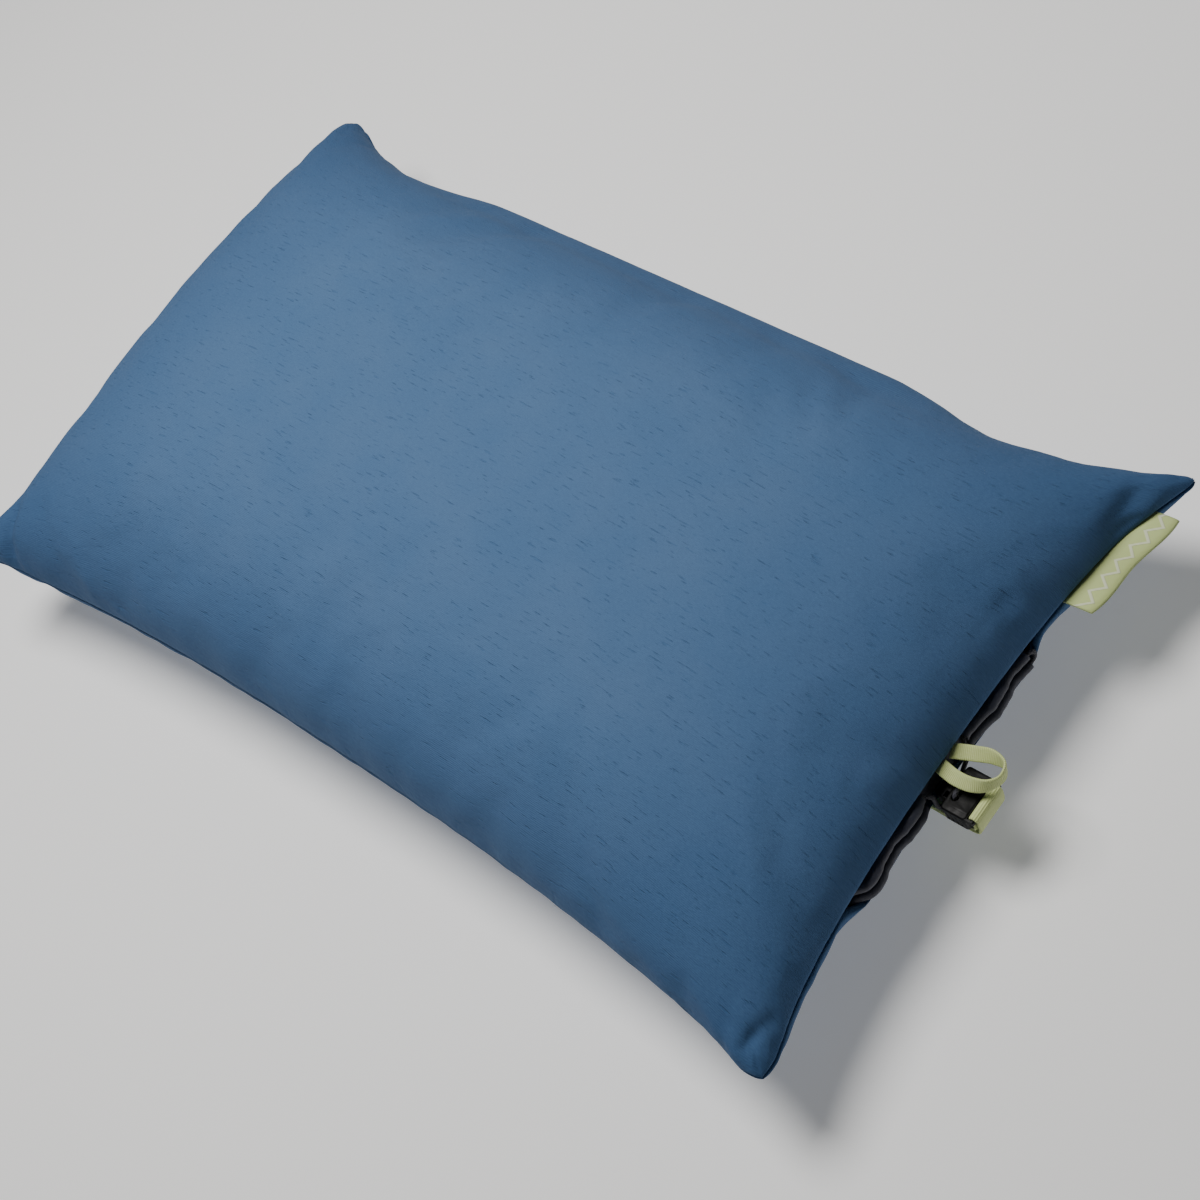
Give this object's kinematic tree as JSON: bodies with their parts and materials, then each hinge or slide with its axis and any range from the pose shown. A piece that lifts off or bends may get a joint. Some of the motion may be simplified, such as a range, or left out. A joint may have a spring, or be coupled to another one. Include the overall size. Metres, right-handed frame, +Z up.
{
  "type": "camp pillow",
  "caption": "Compact hybrid camp pillow: soft cover over foam and an air cell, with a drawcord stuff sack mouth, cord lock, pull loop and side label at one end.",
  "frame": {"origin": "centre of the flat patch on the underside that the pillow rests on", "axes": "+Z up, +X to the short end with the label and cord lock, +Y to the long side with the zip"},
  "size_m": [0.4401, 0.254, 0.0992],
  "materials": {
    "cover_fabric": "brushed polyester suede, mid blue",
    "dark_cloth": "thin ripstop nylon, dark brown-grey",
    "drawcord": "braided cord, near black",
    "lime_tape": "woven tape, pale lime green",
    "black_plastic": "moulded acetal, satin black",
    "spring_steel": "plain wire",
    "zip_tape": "woven zip tape, dark blue",
    "zip_coil": "nylon coil, dark blue",
    "zip_metal": "die-cast zinc, dark satin paint",
    "foam": "open-cell foam, off white",
    "cell_film": "coated polyester film, pale grey",
    "valve_plastic": "soft moulded TPU, grey",
    "silicone": "silicone flap, translucent white"
  },
  "bodies": {
    "pillow": {"cover_top_panel": "cover_fabric", "cover_bottom_panel": "cover_fabric", "foam_topper": "foam", "air_cell_top_skin": "cell_film", "air_cell_bottom_skin": "cell_film", "baffle_1": "cell_film", "baffle_2": "cell_film", "baffle_3": "cell_film", "baffle_4": "cell_film", "stuff_sack": "dark_cloth", "mouth_channel_upper_front": "dark_cloth", "mouth_channel_upper_rear": "dark_cloth", "mouth_channel_lower_front": "dark_cloth", "mouth_channel_lower_rear": "dark_cloth", "drawcord": "drawcord", "cord_lock_body": "black_plastic", "cord_lock_spring": "spring_steel", "lock_strap": "lime_tape", "side_label": "lime_tape", "zip_tape_upper": "zip_tape", "zip_tape_lower": "zip_tape", "zip_coil_upper": "zip_coil", "zip_coil_lower": "zip_coil", "zip_stop_closed_end": "zip_metal", "zip_stop_open_end": "zip_metal", "valve_flange": "valve_plastic"},
    "loop": {"pull_loop": "lime_tape"},
    "lock_button": {"cord_lock_plunger": "black_plastic"},
    "slider": {"zip_slider": "zip_metal"},
    "slider_pull": {"zip_pull": "zip_metal"},
    "deflate_plug": {"valve_plug": "valve_plastic", "valve_diaphragm": "silicone"},
    "inflate_cap": {"valve_cap": "valve_plastic"}
  },
  "joints": [
    {"name": "lock_button_press", "type": "slide", "parent": "pillow", "child": "lock_button", "axis": [1, 0, 0], "range_m": [0, 0.0034], "stiffness_N_per_m": 500, "springref_m": -0.001, "deforming": ["cord_lock_spring"]},
    {"name": "pull_loop_lift", "type": "hinge", "parent": "pillow", "child": "loop", "pos_m": [0.2058, -0.0013, 0.0423], "axis": [0, -1, 0], "range_deg": [0, 60], "stiffness_Nm_per_rad": 0.0006},
    {"name": "zip_slide", "type": "slide", "parent": "pillow", "child": "slider", "axis": [1, 0, 0], "range_m": [0, 0.184]},
    {"name": "zip_pull_swing", "type": "hinge", "parent": "slider", "child": "slider_pull", "pos_m": [-0.092, 0.1163, 0.042], "axis": [0, 0, 1], "range_deg": [0, 165]},
    {"name": "valve_plug_open", "type": "hinge", "parent": "pillow", "child": "deflate_plug", "pos_m": [-0.16608, 0.07519, 0.01146], "axis": [0.9794, 0, -0.2021], "range_deg": [0, 120]},
    {"name": "valve_cap_open", "type": "hinge", "parent": "deflate_plug", "child": "inflate_cap", "pos_m": [-0.16691, 0.05721, 0.00744], "axis": [-0.9794, 0, 0.2021], "range_deg": [0, 140]}
  ]
}
